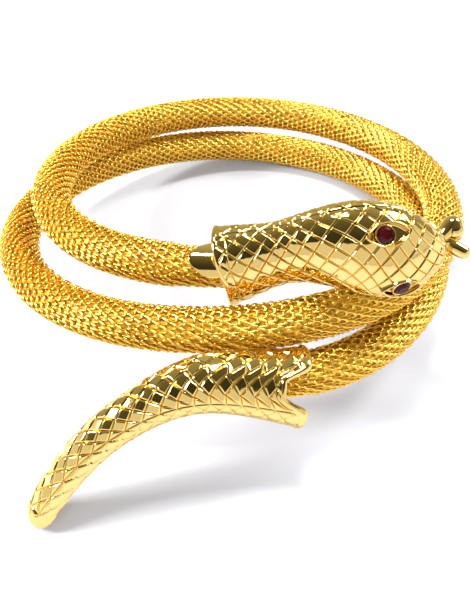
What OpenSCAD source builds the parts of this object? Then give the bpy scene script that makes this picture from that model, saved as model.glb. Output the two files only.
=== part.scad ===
// Snake bracelet: a knitted wire tube wound almost twice round the wrist,
// with a cast head and a cast tail. Millimetres, +Z up, resting on Z = 0.

/* [Knitted band] */
// Thickness of the knitted tube
band_d = 7.1; // [5:0.1:9]
// How much each end of the tube is drawn in where it is held
band_end_in = 0.25; // [0:0.05:0.6]
// Flat sides of the tube's round section
band_sides = 22; // [12:2:32]
// Straight steps along the tube
band_steps = 120; // [60:2:200]

/* [Castings] */
// Wall of the two hollow-backed castings
wall = 1.15; // [0.8:0.05:2]
// Height of the head's scales over the grooves between them
scale_lift = 0.3; // [0:0.05:0.6]
// Height of the tail's bolder scales over the same grooves
tail_scale_lift = 0.4; // [0:0.05:0.6]
// Height of the plain border over the grooves
border_lift = 0.22; // [0:0.02:0.6]
// Share of a scale that is its raised top, on the head and on the tail
scale_top = 0.8; // [0.5:0.05:0.95]
tail_scale_top = 0.7; // [0.5:0.05:0.95]
// Thickness of the rolled edge round each mouth
mouth_edge = 0.9; // [0.6:0.1:1.4]
// Thickness of the same edge where it swells into the tail's two lips
lip_edge = 1.5; // [0.8:0.1:2.2]
// How deep the tail's mouth is cut back in the middle
tail_bite = 3.6; // [0:0.2:6]
// How far the tail's crown is turned up from the level, in degrees
tail_lean = 35; // [0:1:45]
// Height of the tail's dome as a share of its half width
tail_dome = 0.85; // [0.6:0.05:1.1]

/* [Collar] */
// Outside width of the smooth collar at the head
collar_d = 7.6; // [7.3:0.1:8.2]
// How far the collar's leaf reaches out over the tube on the side that shows
leaf_l = 5.4; // [0:0.2:7]
// Direction of the leaf round the tube, in degrees above level
leaf_turn = 55; // [0:5:90]
// Length of tube that the collar holds all round
collar_grip = 1.0; // [0.8:0.1:3]
// Thickness of the collar's closed end
collar_cap = 1.0; // [0.6:0.1:2]
// Air left between neighbouring pieces
fit_gap = 0.12; // [0.05:0.01:0.3]

/* [Eyes] */
// Width of a stone
stone_d = 2.6; // [1.5:0.1:3.5]
// Length of the almond recess round a stone
almond_l = 5.6; // [4:0.1:8]
// Width of the almond recess
almond_w = 2.9; // [2:0.1:4]
// Height of the almond's rim over the head
almond_rim = 0.35; // [0.1:0.05:0.8]
// Depth of the almond recess under the head's surface
almond_sunk = 0.45; // [0.2:0.05:0.8]

/* [Resting pose] */
// Lean of the coil away from the viewer, in degrees
lean_back = -9.2; // [-30:0.05:30]
// Lean of the coil to the side, in degrees
lean_side = 4.7; // [-30:0.05:30]
// Shift that sets the lowest point on the floor and centres the part
rest_shift = [-0.25, 5.84, 13.57];

/* [Hidden] */
band_r = band_d / 2;
// Centre line of the tube, one row each 50 degrees of turn from the tail end:
// distance from the coil's axis, height
coil_rows = [
    [37, 1], [37, 0], [42.5, -5.5], [37, -5], [39, -4], [37.5, -3], [38, -2.5],
    [39, -1.5], [40, 0], [35.5, 2], [37.5, 2.5], [40, 3], [42.5, 4], [39, 5],
    [34.5, 5.5], [31.5, 6], [27, 6.5], [25.5, 5], [23.5, 4], [21.5, 2.5]
];
// The tube's two ends, in degrees of turn, and its length in one degree of turn at each
band_from = 45;
band_to = 761;
tail_step = 0.66;
head_step = 0.47;
draw_l = collar_grip + leaf_l + 0.6;
// Head, evenly spaced from its mouth to the nose, the first and last row only steering the line:
// x, y, z of the back plane's middle, half width, dome height, lean
head_rows = [
    [-6, -27.5, 5, 7.4, 6.4, 2], [-2, -28, 7, 6.5, 5.6, 4], [2.5, -29, 9, 5.7, 5.0, 6],
    [7, -29.5, 10.5, 4.4, 3.8, 9], [11, -30.5, 12, 5.2, 4.1, 12], [15.5, -31.5, 13, 6.2, 4.6, 14],
    [19.5, -31.5, 12.5, 6.5, 4.8, 15], [23, -31.5, 11.5, 6.6, 4.6, 16], [27, -30, 11, 5.1, 3.7, 16],
    [31, -27.5, 11, 2.0, 1.8, 16], [35, -25, 11.5, -1.0, 0.0, 16]
];
// Tail, from its mouth to the tip in the same way: x, y, z of the back plane's middle, half width
tail_rows = [for (q = [
    [17.5, -41.5, -5.5, 7.2], [11, -42, -4.5, 5.9], [4.5, -42.5, -3.5, 4.6], [-1.5, -43, -2, 4.4],
    [-7.5, -44, -3, 3.5], [-13.5, -45.5, -6, 2.8], [-19.5, -47, -10.5, 2.8], [-24.5, -49, -16.5, 2.8],
    [-29.5, -51, -24.5, 2.6], [-34.5, -53, -32.5, 2.3]
]) concat(q, [q[3] * tail_dome, tail_lean])];
tail_length = 50;

// Smooth line through the pull of four neighbouring rows
function smooth(rows, x) =
    let (i = min(max(floor(x), 0), len(rows) - 4), t = x - i)
    (pow(1 - t, 3) * rows[i] + (3 * pow(t, 3) - 6 * t * t + 4) * rows[i + 1]
    + (-3 * pow(t, 3) + 3 * t * t + 3 * t + 1) * rows[i + 2] + pow(t, 3) * rows[i + 3]) / 6;
function unit(v) = v / norm(v);
function mix(a, b, k) = a + (b - a) * k;
function ramp(a, b, x) = let (k = min(max((x - a) / (b - a), 0), 1)) k * k * (3 - 2 * k);
function xyz(q) = [q[0], q[1], q[2]];
function flat_out(p) = unit([p[0], p[1], 0]);
// Directions at a point of a line: along, outward from the wrist, up; leaning by an angle
function axes(p, along, lean) =
    let (o = flat_out(p), n = unit(o - (o * along) * along), c = cross(along, n), b = c[2] < 0 ? -c : c)
    [along, cos(lean) * n + sin(lean) * b, cos(lean) * b - sin(lean) * n];

// The coil
function coil_at(turn) =
    let (q = smooth(coil_rows, turn / 50), a = turn - 130) [q[0] * cos(a), q[0] * sin(a), q[1]];
function coil_axes(turn) = axes(coil_at(turn), unit(coil_at(turn + 0.5) - coil_at(turn - 0.5)), 0);
// How far the tube is drawn in at a distance from its nearer end
function end_in(s) = band_end_in * (1 - ramp(draw_l, draw_l + 3, s));

// A casting's line and surface: u runs from 0 at the mouth to 1, t is the angle across the dome
function cast_row(rows, u) = smooth(rows, u * (len(rows) - 3));
function cast_axes(rows, u) =
    let (q = cast_row(rows, u), d = unit(xyz(cast_row(rows, u + 0.004)) - xyz(cast_row(rows, u - 0.004))))
    axes(xyz(q), d, q[5]);
function tip_round(u, from) = u <= from ? 1 : sqrt(max(0.02, 1 - pow((u - from) / (1 - from), 2)));
function on_cast(rows, u, t, lift, from) =
    let (q = cast_row(rows, u), a = cast_axes(rows, u), k = tip_round(u, from))
    xyz(q) + a[1] * max(0.05, q[4] * k + lift) * cos(t) + a[2] * max(0.05, q[3] * k + lift) * sin(t);

// Share along the line where each mouth's rim lies, at an angle across the dome: the head's drops
// back to its lower corner, the tail's is cut back in the middle between two lips
head_rim = function(t) 0.063 - 0.045 * ramp(5, 70, -t);
tail_rim = function(t) 0.024 + tail_bite / tail_length * (1 - ramp(12, 40, abs(t)));

// Widest step of the plain border across the dome, in degrees, and the share where a rim's line has faded out
border_step = 22;
rim_fade = 0.8;

// A hollow-backed casting as one closed skin. n and m count the half scales along and across,
// lat = [start share, end share, lowest angle, highest angle, height and top of a scale], cave is the
// share where the hollow ends, rim is the mouth's edge, which fades out along the casting, and skew
// drives the scales' rows aslant where the head is broad
module casting(rows, n, m, lat, cave, tip, rim, skew, flip) {
    ends = [for (k = [1:5]) let (a = k * 17) mix(lat[1], 1, k < 2 ? 0.12 : sin(a) * 0.88 + 0.12)];
    F = concat([0, lat[0] * 0.7], [for (i = [0:n]) mix(lat[0], lat[1], i / n)], ends);
    low = ceil((90 + lat[2]) / border_step);
    high = ceil((90 - lat[3]) / border_step);
    T = concat(
        [for (j = [0:low - 1]) mix(-90, lat[2], j / low)],
        [for (j = [0:m]) mix(lat[2], lat[3], j / m)],
        [for (j = [1:high]) mix(lat[3], 90, j / high)]
    );
    nf = len(F);
    nt = len(T);
    cut = [for (i = [0:nf - 1]) if (F[i] <= cave) i];
    ci = len(cut) - 1;
    function share(f, t) =
        f + rim(t) * pow(max(0, 1 - f / rim_fade), 2)
        - skew * (t / 90) * ramp(0.2, 0.65, f) * (1 - ramp(0.84, 1, f));
    function inside(I, J) = I >= 2 && I <= 2 + n && J >= low && J <= low + m;
    function edge(I, J) = I == 2 || I == 2 + n || J == low || J == low + m;
    // A scale's middle stands a little over the edge of its top
    function lift(I, J) =
        !inside(I, J) ? border_lift : (edge(I, J) || (I + J - low) % 2 == 0) ? 0 : lat[4] * 1.15;
    function at(f, t, up) = on_cast(rows, share(f, t), t, up, tip);
    outer = [for (I = [0:nf - 1], J = [0:nt - 1])
        at(F[I], T[J], lift(I, J) * (1 - ramp(lat[1], 1, F[I])))];
    inner = [for (I = [0:ci], J = [0:nt - 1]) at(F[I], T[J], -wall)];
    // One raised top for each scale, shrunk towards its middle
    cells = [for (I = [2:2 + n], J = [low:low + m]) if ((I + J - low) % 2 == 1) [I, J]];
    function around(c) = [
        [max(c[0] - 1, 2), c[1]], [c[0], min(c[1] + 1, low + m)],
        [min(c[0] + 1, 2 + n), c[1]], [c[0], max(c[1] - 1, low)]
    ];
    tops = [for (c = cells) let (
            r = around(c),
            mf = (F[r[0][0]] + F[r[1][0]] + F[r[2][0]] + F[r[3][0]]) / 4,
            mt = (T[r[0][1]] + T[r[1][1]] + T[r[2][1]] + T[r[3][1]]) / 4
        ) for (q = r) at(mix(mf, F[q[0]], lat[5]), mix(mt, T[q[1]], lat[5]), lat[4])];
    function o(I, J) = I * nt + J;
    i0 = nf * nt;
    function v(I, J) = i0 + I * nt + J;
    t0 = i0 + (ci + 1) * nt;
    quads = [for (I = [0:nf - 2], J = [0:nt - 2])
        if (!(I >= 2 && I < 2 + n && J >= low && J < low + m))
            [o(I, J), o(I, J + 1), o(I + 1, J + 1), o(I + 1, J)]];
    hollow = [for (I = [0:ci - 1], J = [0:nt - 2]) [v(I, J), v(I + 1, J), v(I + 1, J + 1), v(I, J + 1)]];
    mouth = [for (J = [0:nt - 2]) [o(0, J), v(0, J), v(0, J + 1), o(0, J + 1)]];
    rims = [for (I = [0:ci - 1]) each [
        [o(I, 0), o(I + 1, 0), v(I + 1, 0), v(I, 0)],
        [o(I, nt - 1), v(I, nt - 1), v(I + 1, nt - 1), o(I + 1, nt - 1)]
    ]];
    back = [for (I = [ci + 1:nf - 2]) [o(I, 0), o(I + 1, 0), o(I + 1, nt - 1), o(I, nt - 1)]];
    step = [
        [o(ci + 1, 0), v(ci, 0), o(ci, 0)], [o(ci + 1, 0), v(ci, nt - 1), v(ci, 0)],
        [o(ci + 1, 0), o(ci, nt - 1), v(ci, nt - 1)], [o(ci + 1, 0), o(ci + 1, nt - 1), o(ci, nt - 1)]
    ];
    cap = [for (J = [1:nt - 2]) [v(ci, 0), v(ci, J + 1), v(ci, J)]];
    nose = [for (J = [1:nt - 2]) [o(nf - 1, 0), o(nf - 1, J), o(nf - 1, J + 1)]];
    split = [for (q = concat(quads, hollow, mouth, rims, back))
        each [[q[0], q[1], q[2]], [q[0], q[2], q[3]]]];
    // Each scale is a ring of four slopes and a top, which is flat where the border cuts the scale
    function scale_faces(c, p) = let (r = around(c)) concat(
        [for (s = [0:3]) let (a = r[s], b = r[(s + 1) % 4], q = p + (s + 1) % 4) each [
            [o(a[0], a[1]), o(b[0], b[1]), q], [o(a[0], a[1]), q, p + s]]],
        edge(c[0], c[1]) ? [[p, p + 1, p + 2], [p, p + 2, p + 3]]
        : [for (s = [0:3]) [o(c[0], c[1]), p + s, p + (s + 1) % 4]]
    );
    scales = [for (k = [0:len(cells) - 1]) each scale_faces(cells[k], t0 + 4 * k)];
    faces = concat(split, step, cap, nose, scales);
    polyhedron(
        points = concat(outer, inner, tops),
        faces = flip ? [for (f = faces) [f[2], f[1], f[0]]] : faces
    );
}

// A plate across the hollow of a casting, which the tube's end is seated in
module seat(rows, u0, u1, flip) {
    s = [for (k = [0:14]) -90 + k * 180 / 14];
    p = [for (u = [u0, u1], t = s) on_cast(rows, u, t, -wall * 0.6, 2)];
    n = len(s);
    side = [for (k = [0:n - 1]) let (q = (k + 1) % n) each [[k, q, n + q], [k, n + q, n + k]]];
    ends = [for (k = [1:n - 2]) each [[0, k + 1, k], [n, n + k, n + k + 1]]];
    faces = concat(side, ends);
    polyhedron(points = p, faces = flip ? [for (f = faces) [f[2], f[1], f[0]]] : faces);
}

// Rolled edge along the mouth of a casting, swelling from the middle to the lips
module mouth_roll(rows, rim, lip) {
    s = [for (k = [0:16]) -90 + k * 11.25];
    function thick(t) = mix(mouth_edge, lip, ramp(22, 45, abs(t)));
    function p(t) = on_cast(rows, rim(t), t, border_lift + 0.1 - thick(t) / 2, 2);
    for (k = [0:15]) hull() for (t = [s[k], s[k + 1]]) translate(p(t)) sphere(d = thick(t), $fn = 10);
}

// Matrix that stands a shape on three directions at a point
module place(p, x, y, z) {
    m = [[x[0], y[0], z[0], p[0]], [x[1], y[1], z[1], p[1]], [x[2], y[2], z[2], p[2]], [0, 0, 0, 1]];
    multmatrix(m) children();
}

// Room round the tube between two turns, as a cutter for the castings
module tube_room(a, b, r) {
    s = [for (k = [0:6]) mix(a, b, k / 6)];
    for (k = [0:5]) hull() for (q = [s[k], s[k + 1]]) let (x = coil_axes(q))
        place(coil_at(q), x[1], cross(x[0], x[1]), x[0]) cylinder(r = r, h = 0.02, center = true, $fn = 24);
}

// Where an eye sits on the head: share, angle, how fast its almond climbs the dome
// in degrees for each 0.05 of share, and the stone's shift from the almond's middle
eye_spots = [[0.654, 25, 4, -0.5], [0.763, -46, 1, 0]];
// Depth under the head's surface that the eye's metal reaches, and that the stone's seat reaches
eye_root = 1.7;
stone_room = 1.15;
function eye_axes(e) =
    let (
        u = eye_spots[e][0], t = eye_spots[e][1],
        p = on_cast(head_rows, u, t, 0, 2),
        k = eye_spots[e][2],
        a = unit(on_cast(head_rows, u + 0.05, t + k, 0, 2) - on_cast(head_rows, u - 0.05, t - k, 0, 2)),
        s = on_cast(head_rows, u, t + 6, 0, 2) - on_cast(head_rows, u, t - 6, 0, 2),
        z0 = unit(cross(a, s)), o = cast_axes(head_rows, u)[1], z = z0 * o < 0 ? -z0 : z0
    ) [p, a, cross(z, a), z];
module on_eye(e) {
    x = eye_axes(e);
    place(x[0], x[1], x[2], x[3]) children();
}
// Two arcs that meet in points
function almond(l, w) =
    let (r = (l * l + w * w) / (4 * w), a = asin(l / 2 / r))
    concat(
        [for (k = [0:8]) let (q = -a + k * a / 4) [r * sin(q), r * cos(q) - r + w / 2]],
        [for (k = [1:7]) let (q = a - k * a / 4) [r * sin(q), -r * cos(q) + r - w / 2]]
    );

module band() {
    n = band_steps;
    m = band_sides;
    color([0.87, 0.64, 0.2])
    polyhedron(
        points = [for (i = [0:n], j = [0:m - 1]) let (
                a = mix(band_from, band_to, i / n),
                x = coil_axes(a),
                s = min((a - band_from) * tail_step, (band_to - a) * head_step),
                r = band_r - end_in(s),
                q = j * 360 / m
            ) coil_at(a) + r * (cos(q) * x[1] + sin(q) * x[2])],
        faces = concat(
            [[for (j = [0:m - 1]) j]],
            [[for (j = [0:m - 1]) n * m + m - 1 - j]],
            [for (i = [0:n - 1], j = [0:m - 1]) let (k = (j + 1) % m) each [
                [i * m + j, (i + 1) * m + j, (i + 1) * m + k], [i * m + j, (i + 1) * m + k, i * m + k]]]
        )
    );
}

// The collar follows the tube. Its mouth is even on the side of the wrist and drawn out into a leaf
// on the side that shows, and its inner end is closed
module neck_collar() {
    m = 28;
    n = 6;
    bore = band_r - band_end_in + fit_gap;
    function reach(q) = collar_grip + leaf_l * max(0, cos(q - leaf_turn));
    // The outer edges are drawn in a little at the mouth and more at the closed end
    function soft(i) = i == n ? 0.3 : i == 0 ? 0.1 : 0;
    function at(q, s, r) = let (a = band_to + s / head_step, x = coil_axes(a))
        coil_at(a) + r * (cos(q) * x[1] + sin(q) * x[2]);
    outer = [for (i = [0:n], j = [0:m - 1]) let (q = j * 360 / m)
        at(q, mix(-reach(q), fit_gap + collar_cap, i / n), collar_d / 2 - soft(i))];
    inner = [for (i = [0:n], j = [0:m - 1]) let (q = j * 360 / m)
        at(q, mix(-reach(q), fit_gap, i / n), bore)];
    k = (n + 1) * m;
    skin = [for (i = [0:n - 1], j = [0:m - 1]) let (a = i * m + j, b = i * m + (j + 1) % m) each [
        [a, a + m, b + m], [a, b + m, b], [k + a, k + b + m, k + a + m], [k + a, k + b, k + b + m]]];
    mouth = [for (j = [0:m - 1]) let (b = (j + 1) % m) each [[j, b, k + b], [j, k + b, k + j]]];
    color([0.93, 0.82, 0.5])
    polyhedron(
        points = concat(outer, inner),
        faces = concat(
            skin, mouth,
            [[for (j = [0:m - 1]) n * m + m - 1 - j]],
            [[for (j = [0:m - 1]) k + n * m + j]]
        )
    );
}

// Tongue lobes from the nose: along, out, up, radius
tongue = [
    [[-2.3, 0.2, 0.2, 1.0], [0.2, 0.2, 1.0, 1.2], [1.9, 0.3, 1.9, 1.4], [1.8, 1.0, 1.2, 1.3]],
    [[-2.2, 0.2, -0.4, 1.0], [0.5, 0.6, -0.4, 1.0], [1.0, 1.6, -1.1, 1.05], [1.6, 2.6, -1.8, 1.0]]
];

module head() {
    q = cast_row(head_rows, 1);
    x = cast_axes(head_rows, 1);
    color([0.93, 0.82, 0.5])
    difference() {
        union() {
            casting(head_rows, 24, 10, [0.04, 0.93, -68, 68, scale_lift, scale_top], 0.86, 0.94,
                head_rim, 0.075, false);
            mouth_roll(head_rows, head_rim, mouth_edge);
            seat(head_rows, 0.087, 0.13, false);
            for (e = [0, 1]) on_eye(e) {
                translate([0, 0, -eye_root]) linear_extrude(eye_root + almond_rim)
                    polygon(almond(almond_l + 1.3, almond_w + 0.7));
                translate([eye_spots[e][3], 0, -eye_root]) cylinder(d = stone_d + 1.4, h = 1, $fn = 24);
            }
            for (lobe = tongue) for (k = [0:2]) hull() for (s = [lobe[k], lobe[k + 1]])
                translate(xyz(q) + x[0] * s[0] + x[1] * s[1] + x[2] * s[2]) sphere(r = s[3], $fn = 16);
        }
        // Room for the collar, the almond recesses and the stones' seats
        tube_room(band_to - 8, band_to + (2 * fit_gap + collar_cap) / head_step, collar_d / 2 + fit_gap);
        for (e = [0, 1]) on_eye(e) {
            translate([0, 0, -almond_sunk]) linear_extrude(3) polygon(almond(almond_l, almond_w));
            translate([eye_spots[e][3], 0, -stone_room])
                cylinder(d = stone_d + 2 * fit_gap, h = 2, $fn = 24);
        }
    }
}

// A faceted stone: eight-sided table, crown, thin girdle and a flat-bottomed back
module stone() {
    r = stone_d / 2;
    p = concat(
        [for (k = [0:7]) [r * 0.58 * cos(k * 45), r * 0.58 * sin(k * 45), 0.5]],
        [for (k = [0:15]) [r * cos(k * 22.5 + 11.25), r * sin(k * 22.5 + 11.25), 0.02]],
        [for (k = [0:15]) [r * cos(k * 22.5 + 11.25), r * sin(k * 22.5 + 11.25), -0.2]],
        [for (k = [0:7]) [r * 0.4 * cos(k * 45), r * 0.4 * sin(k * 45), -0.95]]
    );
    faces = concat(
        [[for (k = [0:7]) k], [for (k = [0:7]) 47 - k]],
        [for (k = [0:7]) each [
            [k, 8 + (2 * k + 15) % 16, 8 + 2 * k],
            [k, 8 + 2 * k, (k + 1) % 8],
            [(k + 1) % 8, 8 + 2 * k, 8 + 2 * k + 1]
        ]],
        [for (k = [0:15]) let (q = (k + 1) % 16) each [[8 + k, 24 + k, 24 + q], [8 + k, 24 + q, 8 + q]]],
        [for (k = [0:7]) each [
            [40 + k, 24 + 2 * k, 24 + (2 * k + 15) % 16],
            [40 + k, 40 + (k + 1) % 8, 24 + 2 * k],
            [40 + (k + 1) % 8, 24 + 2 * k + 1, 24 + 2 * k]
        ]]
    );
    polyhedron(points = p, faces = [for (f = faces) [for (k = [len(f) - 1:-1:0]) f[k]]]);
}
module eye(e) { color([0.36, 0.03, 0.07]) on_eye(e) translate([eye_spots[e][3], 0, 0.02]) stone(); }
module eye_upper() { eye(0); }
module eye_lower() { eye(1); }

module tail() {
    color([0.93, 0.82, 0.5])
    difference() {
        union() {
            casting(tail_rows, 32, 6, [0.03, 0.94, -36, 80, tail_scale_lift, tail_scale_top], 0.8, 0.95,
                tail_rim, 0, true);
            mouth_roll(tail_rows, tail_rim, lip_edge);
            seat(tail_rows, 0.135, 0.16, true);
        }
        tube_room(band_from - 1, band_from + 22, band_r + fit_gap + 0.08);
    }
}

module rested() {
    translate(rest_shift) rotate([lean_back, lean_side, 0]) children();
}

rested() band();
rested() head();
rested() neck_collar();
rested() eye_upper();
rested() eye_lower();
rested() tail();
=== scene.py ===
import math

import bmesh
import bpy
import numpy as np
from mathutils import Matrix, Vector


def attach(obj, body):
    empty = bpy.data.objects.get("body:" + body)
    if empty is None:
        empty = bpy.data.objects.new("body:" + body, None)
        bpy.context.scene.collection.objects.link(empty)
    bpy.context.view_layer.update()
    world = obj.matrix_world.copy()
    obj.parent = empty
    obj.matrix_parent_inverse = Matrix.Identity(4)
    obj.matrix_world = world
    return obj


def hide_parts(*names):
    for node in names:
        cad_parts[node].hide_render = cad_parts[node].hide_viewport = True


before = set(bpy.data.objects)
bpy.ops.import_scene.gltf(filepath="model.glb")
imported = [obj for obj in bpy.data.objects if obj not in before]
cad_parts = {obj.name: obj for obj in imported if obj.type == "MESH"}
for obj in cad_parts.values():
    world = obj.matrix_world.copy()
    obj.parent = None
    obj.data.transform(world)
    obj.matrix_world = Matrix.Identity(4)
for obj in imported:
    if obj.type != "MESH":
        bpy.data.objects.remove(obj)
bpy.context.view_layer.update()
print("frame loaded")

# The coil's lean on the floor in degrees and its shift in mm, as in the part's own source
rest = {"leanBack": -9.2, "leanSide": 4.7, "shift": (-0.25, 5.84, 13.57)}

# Centre line of the tube: distance from the coil's axis and height, one row each 50 degrees of turn
coilRows = np.array([
    [37, 1], [37, 0], [42.5, -5.5], [37, -5], [39, -4], [37.5, -3], [38, -2.5],
    [39, -1.5], [40, 0], [35.5, 2], [37.5, 2.5], [40, 3], [42.5, 4], [39, 5],
    [34.5, 5.5], [31.5, 6], [27, 6.5], [25.5, 5], [23.5, 4], [21.5, 2.5],
])
coilRow = {"degrees": 50, "start": -130, "probe": 0.5}  # probe: half the step that gives a direction


def turnMatrix():
    # A turn about X, then one about Y
    a, b = np.radians([rest["leanBack"], rest["leanSide"]])
    aboutX = np.array([[1, 0, 0], [0, np.cos(a), -np.sin(a)], [0, np.sin(a), np.cos(a)]])
    aboutY = np.array([[np.cos(b), 0, np.sin(b)], [0, 1, 0], [-np.sin(b), 0, np.cos(b)]])
    return aboutY @ aboutX


turned = turnMatrix()


def toRow(points):
    # Coil frame in mm to row frame in metres
    return (points @ turned.T + np.array(rest["shift"])) / 1000


def unit(v):
    # The same direction with length 1
    return v / np.linalg.norm(v, axis=-1, keepdims=True)


def mix(a, b, k):
    # Straight line from a at k = 0 to b at k = 1
    return a + (b - a) * k


def ramp(a, b, x):
    # Rises from 0 at a to 1 at b, level at both ends
    k = np.clip((x - a) / (b - a), 0, 1)
    return k * k * (3 - 2 * k)


def smooth(rows, x):
    # Uniform cubic B-spline: each stretch is the weighted mean of four neighbouring rows
    i = np.clip(np.floor(x).astype(int), 0, len(rows) - 4)
    t = (x - i)[..., None]
    return (
        (1 - t) ** 3 * rows[i]
        + (3 * t**3 - 6 * t**2 + 4) * rows[i + 1]
        + (-3 * t**3 + 3 * t**2 + 3 * t + 1) * rows[i + 2]
        + t**3 * rows[i + 3]
    ) / 6


def axesAt(point, along, lean):
    # Outward from the wrist made square to the line, and upward, both turned about the line
    flat = unit(point * np.array([1, 1, 0]))
    out = unit(flat - np.sum(flat * along, -1, keepdims=True) * along)
    up = np.cross(along, out)
    up = np.where(up[..., 2:] < 0, -up, up)
    c, s = np.cos(np.radians(lean))[..., None], np.sin(np.radians(lean))[..., None]
    return c * out + s * up, c * up - s * out


def coilAt(turn):
    # Place on the centre line at a turn in degrees: the row's distance and height, turned about the
    # coil's axis
    row = smooth(coilRows, turn / coilRow["degrees"])
    a = np.radians(turn + coilRow["start"])
    return np.stack([row[..., 0] * np.cos(a), row[..., 0] * np.sin(a), row[..., 1]], -1)


def coilAxes(turn):
    # The line's direction, by a small step each way, with outward and upward square to it
    along = unit(coilAt(turn + coilRow["probe"]) - coilAt(turn - coilRow["probe"]))
    out, up = axesAt(coilAt(turn), along, np.zeros(turn.shape))
    return along, out, up


# Mesh making


def sheet(points, closed=False):
    # Points on a grid, rows by columns, as a list of points and quads.
    # A closed sheet joins its last column to its first
    rows, columns = points.shape[:2]
    i = np.arange(rows - 1)[:, None]
    j = np.arange(columns if closed else columns - 1)[None, :]
    k = (j + 1) % columns
    row, after = i * columns, (i + 1) * columns
    quads = np.stack([row + j, row + k, after + k, after + j], -1)
    return points.reshape(-1, 3), [quads.reshape(-1, 4)]


def fan(ring, centre):
    # Triangles from a centre to a ring of points
    j = np.arange(len(ring) - 1)
    return np.vstack([ring, centre]), [np.stack([j, j + 1, np.full(len(j), len(ring))], -1)]


def join(parts):
    # Several lists of points and faces as one
    points, faces, count = [], [], 0
    for partPoints, partFaces in parts:
        points.append(partPoints)
        faces += [f + count for f in partFaces]
        count += len(partPoints)
    return np.vstack(points), faces


def spokes(q, side, other):
    # One round of spokes for each place on a line: cosine of q times one axis and sine of q times
    # the other
    return np.cos(q)[None, :, None] * side[:, None] + np.sin(q)[None, :, None] * other[:, None]


def swept(path, radius, reference, sides, rounds=6):
    # A round bar along a path: rings of the given radius square to the path, closed by a half ball
    # at each end. The smallest ring keeps a tiny radius, so that its face is never empty
    tiny = 1e-4
    along = unit(np.gradient(path, axis=0))
    a = np.radians(np.linspace(0, 90, rounds + 1)[1:])[:, None]
    tail = path[-1] + along[-1] * radius[-1] * np.sin(a)
    head = (path[0] - along[0] * radius[0] * np.sin(a))[::-1]
    shrink = np.cos(a[:, 0])
    size = np.concatenate([(radius[0] * shrink)[::-1], radius, radius[-1] * shrink])
    line = np.vstack([head, path, tail])
    along = np.vstack([np.repeat(along[:1], rounds, 0), along, np.repeat(along[-1:], rounds, 0)])
    side = unit(reference - np.sum(reference * along, -1, keepdims=True) * along)
    other = np.cross(along, side)
    q = np.linspace(0, 2 * np.pi, sides, endpoint=False)
    spoke = spokes(q, side, other)
    return sheet(line[:, None] + spoke * np.maximum(size, tiny)[:, None, None], closed=True)


def throughPoints(points, steps):
    # Catmull-Rom line through each point in turn: a cubic in t whose slope at a point is half the step
    # between its neighbours
    ends = np.vstack([2 * points[0] - points[1], points, 2 * points[-1] - points[-2]])
    x = np.linspace(0, len(points) - 1, steps)
    i = np.minimum(x.astype(int), len(points) - 2)
    t = (x - i)[:, None]
    a, b, c, d = (ends[i + k] for k in range(4))
    squared, cubed = 2 * a - 5 * b + 4 * c - d, 3 * b - a - 3 * c + d
    return 0.5 * (2 * b + (c - a) * t + squared * t**2 + cubed * t**3)


def addPiece(name, part, material, slotName, nodeName, sharpFrom=None, merge=0.0):
    # Makes the mesh at the origin, with its place in its points, and puts it on the body
    points, faces = part
    mesh = bpy.data.meshes.new(name)
    mesh.vertices.add(len(points))
    mesh.vertices.foreach_set("co", toRow(points).astype(np.float32).ravel())
    corners = np.concatenate([f.ravel() for f in faces]).astype(np.int32)
    sizes = np.concatenate([np.full(len(f), f.shape[1]) for f in faces])
    mesh.loops.add(len(corners))
    mesh.loops.foreach_set("vertex_index", corners)
    mesh.polygons.add(len(sizes))
    starts = np.concatenate([[0], np.cumsum(sizes)[:-1]])
    mesh.polygons.foreach_set("loop_start", starts.astype(np.int32))
    mesh.polygons.foreach_set("use_smooth", np.ones(len(sizes), bool))
    mesh.update(calc_edges=True)
    if merge:
        work = bmesh.new()
        work.from_mesh(mesh)
        bmesh.ops.remove_doubles(work, verts=work.verts, dist=merge / 1000)
        work.to_mesh(mesh)
        work.free()
    if sharpFrom:
        mesh.set_sharp_from_angle(angle=math.radians(sharpFrom))
    mesh.materials.append(material)
    piece = bpy.data.objects.new(name, mesh)
    bpy.context.scene.collection.objects.link(piece)
    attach(piece, "root")
    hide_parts(nodeName)
    print(name, len(mesh.vertices), "points")


# Materials


def srgb(text):
    # Hex colour to the linear values that a shader takes
    c = np.array([int(text[k : k + 2], 16) for k in (1, 3, 5)]) / 255
    return (*np.where(c <= 0.04045, c / 12.92, ((c + 0.055) / 1.055) ** 2.4).tolist(), 1.0)


def addNode(tree, kind, values=None, links=None):
    # One node with its socket values and incoming links
    node = tree.nodes.new(kind)
    for key, value in (values or {}).items():
        node.inputs[key].default_value = value
    for key, source in (links or {}).items():
        tree.links.new(source, node.inputs[key])
    return node


def newMaterial(name):
    # A material with an empty node tree
    material = bpy.data.materials.new(name)
    material.use_nodes = True
    material.node_tree.nodes.clear()
    return material, material.node_tree


# Cast and plated yellow metal, polished: a near mirror, a little uneven from the casting and its polish
castGold = {
    "colour": "#E9CC82",
    "edge": "#FFF6D8",  # seen edge on
    "roughness": 0.06,
    "unevenMm": 2.2,  # width of one swell left by the polishing
    "uneven": 0.06,
    "unevenDepth": 0.0004,  # in metres
    "detail": 2.0,
    "fine": 0.45,  # weight of the finer swells
}


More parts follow.
